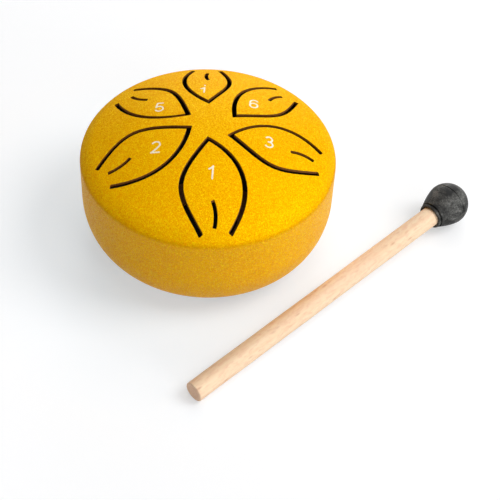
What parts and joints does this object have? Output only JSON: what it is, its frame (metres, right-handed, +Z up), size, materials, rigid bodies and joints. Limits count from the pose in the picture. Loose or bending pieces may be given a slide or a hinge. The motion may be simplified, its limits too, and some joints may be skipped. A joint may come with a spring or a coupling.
{
  "type": "tongue drum",
  "caption": "Small round steel tongue drum with leaf-shaped tongues cut in its domed top, rubber feet, and a wooden mallet with a rubber ball head.",
  "frame": {"origin": "middle of the footprint of the drum and mallet together, on the floor they stand on", "axes": "+X to the right of someone who reads the note numbers, along the set's long side; +Y away from that person; +Z up"},
  "size_m": [0.126, 0.1128, 0.0445],
  "materials": {
    "gold_paint": "golden yellow metallic paint with a fine sparkle",
    "foot_rubber": "matte black",
    "beech": "plain sanded dowel",
    "head_rubber": "matte mottled black"
  },
  "bodies": {
    "drum": {"top_shell": "gold_paint", "bottom_shell": "gold_paint", "foot_1": "foot_rubber", "foot_2": "foot_rubber", "foot_3": "foot_rubber"},
    "mallet": {"mallet_stick": "beech", "mallet_head": "head_rubber"}
  },
  "joints": [
    {"name": "mallet_lift", "type": "slide", "parent": "drum", "child": "mallet", "axis": [0, 0, 1], "range_m": [0, 0.06]}
  ]
}
